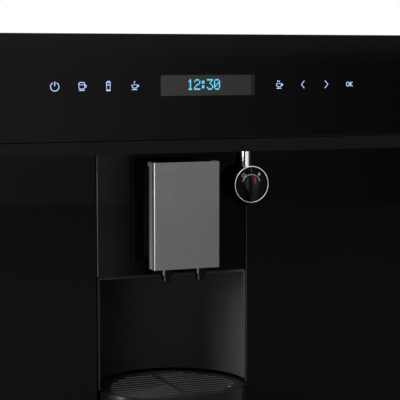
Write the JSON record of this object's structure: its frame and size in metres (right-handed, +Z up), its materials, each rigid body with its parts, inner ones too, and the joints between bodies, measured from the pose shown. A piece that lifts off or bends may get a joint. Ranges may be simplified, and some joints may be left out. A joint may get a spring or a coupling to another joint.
{
  "type": "built-in coffee machine",
  "caption": "Built-in automatic coffee machine with a black glass fascia, sliding steel dispenser, steam arm with dial, concave cup niche and drip drawer, rolling out on telescopic rails.",
  "frame": {"origin": "middle of the underside of the mounting frame, in the plane of the cabinet's front edges", "axes": "+X to the user's right as they face the machine, +Y into the cabinet, +Z up"},
  "size_m": [0.595, 0.5188, 0.457],
  "materials": {
    "black_glass": "gloss black-backed glass",
    "dark_trim": "dark satin anodised",
    "brushed_steel": "brushed along X",
    "polished_chrome": "polished",
    "black_plastic": "fine satin texture",
    "outlet_black": "gloss",
    "dial_black": "gloss with a white printed scale",
    "drip_front_black": "gloss",
    "niche_satin": "dark satin with a fine grain",
    "zinc_sheet": "zinc-coated sheet",
    "rail_steel": "bright zinc",
    "clear_plastic": "clear",
    "smoked_plastic": "smoked clear",
    "grey_plastic": "satin",
    "cast_aluminium": "as cast",
    "white_hose": "silicone",
    "board_green": "solder mask",
    "screen_grey": "dark screen"
  },
  "bodies": {
    "mounting_frame": {"base_pan": "zinc_sheet", "outer_rail_right": "rail_steel", "outer_rail_left": "rail_steel"},
    "middle_rails": {"middle_rail_right": "rail_steel", "middle_rail_left": "rail_steel"},
    "machine": {"inner_rail_right": "rail_steel", "inner_rail_left": "rail_steel", "chassis_floor": "zinc_sheet", "side_wall_right": "zinc_sheet", "side_wall_left": "zinc_sheet", "rear_wall": "zinc_sheet", "top_cover": "zinc_sheet", "bulkhead": "zinc_sheet", "front_frame": "black_plastic", "front_sill": "black_plastic", "niche_shell": "niche_satin", "mains_inlet": "black_plastic", "left_glass": "black_glass", "right_glass": "black_glass", "middle_glass": "black_glass", "control_glass": "black_glass", "trim_rail": "dark_trim", "control_box": "black_plastic", "touch_board": "board_green", "display_module": "screen_grey", "dispenser_column": "black_plastic", "swivel_block": "polished_chrome", "tank_seat": "zinc_sheet", "water_pump": "grey_plastic", "water_hose": "white_hose", "pressure_hose": "white_hose", "bean_hopper": "smoked_plastic", "grinder_housing": "grey_plastic", "grinder_motor": "cast_aluminium", "brew_unit": "grey_plastic", "thermoblock": "cast_aluminium", "power_board": "board_green", "coffee_hose": "white_hose", "steam_hose": "white_hose"},
    "dispenser": {"dispenser_cover": "brushed_steel", "dispenser_carriage": "black_plastic", "distributor": "black_plastic", "coffee_outlet_left": "outlet_black", "coffee_outlet_right": "outlet_black"},
    "steam_arm": {"steam_tube": "polished_chrome", "valve_body": "black_plastic", "knob_ring": "polished_chrome", "dial_plate": "dial_black", "steam_nozzle": "black_plastic"},
    "steam_knob": {"knob_grip": "dial_black"},
    "drip_drawer": {"drip_tray": "black_plastic", "drip_front": "drip_front_black", "grounds_container": "grey_plastic"},
    "grille": {"drip_grille": "brushed_steel"},
    "tank": {"water_tank": "clear_plastic"},
    "tank_cover": {"tank_lid": "smoked_plastic"},
    "hopper_lid": {"bean_lid": "smoked_plastic"},
    "grind_selector": {"grinder_dial": "black_plastic"},
    "burr": {"grinder_burr": "rail_steel"},
    "piston": {"brew_piston": "black_plastic"}
  },
  "joints": [
    {"name": "pull_out", "type": "slide", "parent": "mounting_frame", "child": "machine", "axis": [0, -1, 0], "range_m": [0, 0.3]},
    {"name": "rail_travel", "type": "slide", "parent": "mounting_frame", "child": "middle_rails", "axis": [0, -1, 0], "range_m": [0, 0.15]},
    {"name": "dispenser_height", "type": "slide", "parent": "machine", "child": "dispenser", "axis": [0, 0, -1], "range_m": [0, 0.05]},
    {"name": "arm_swivel", "type": "hinge", "parent": "machine", "child": "steam_arm", "pos_m": [0.0525, -0.029, 0.287], "axis": [0, 0, 1], "range_deg": [-35, 35]},
    {"name": "steam_dial", "type": "hinge", "parent": "steam_arm", "child": "steam_knob", "pos_m": [0.0525, -0.046, 0.287], "axis": [0, 1, 0], "range_deg": [-75, 75]},
    {"name": "drawer_slide", "type": "slide", "parent": "machine", "child": "drip_drawer", "axis": [0, -1, 0], "range_m": [0, 0.2]},
    {"name": "grille_lift", "type": "slide", "parent": "drip_drawer", "child": "grille", "axis": [0, 0, 1], "range_m": [0, 0.06]},
    {"name": "tank_lift", "type": "slide", "parent": "machine", "child": "tank", "axis": [0, 0, 1], "range_m": [0, 0.19]},
    {"name": "tank_lid_lift", "type": "slide", "parent": "tank", "child": "tank_cover", "axis": [0, 0, 1], "range_m": [0, 0.05]},
    {"name": "bean_lid_hinge", "type": "hinge", "parent": "machine", "child": "hopper_lid", "pos_m": [-0.165, 0.252, 0.4461], "axis": [-1, 0, 0], "range_deg": [0, 95]},
    {"name": "grind_setting", "type": "hinge", "parent": "machine", "child": "grind_selector", "pos_m": [-0.06, 0.15, 0.44], "axis": [0, 0, -1], "range_deg": [0, 270]},
    {"name": "burr_spin", "type": "hinge", "parent": "machine", "child": "burr", "pos_m": [-0.165, 0.165, 0.3], "axis": [0, 0, 1], "continuous": true},
    {"name": "piston_stroke", "type": "slide", "parent": "machine", "child": "piston", "axis": [0, 0, 1], "range_m": [0, 0.045]}
  ],
  "couplings": [
    {"joint": "rail_travel", "follows": "pull_out", "ratio": 0.5}
  ]
}
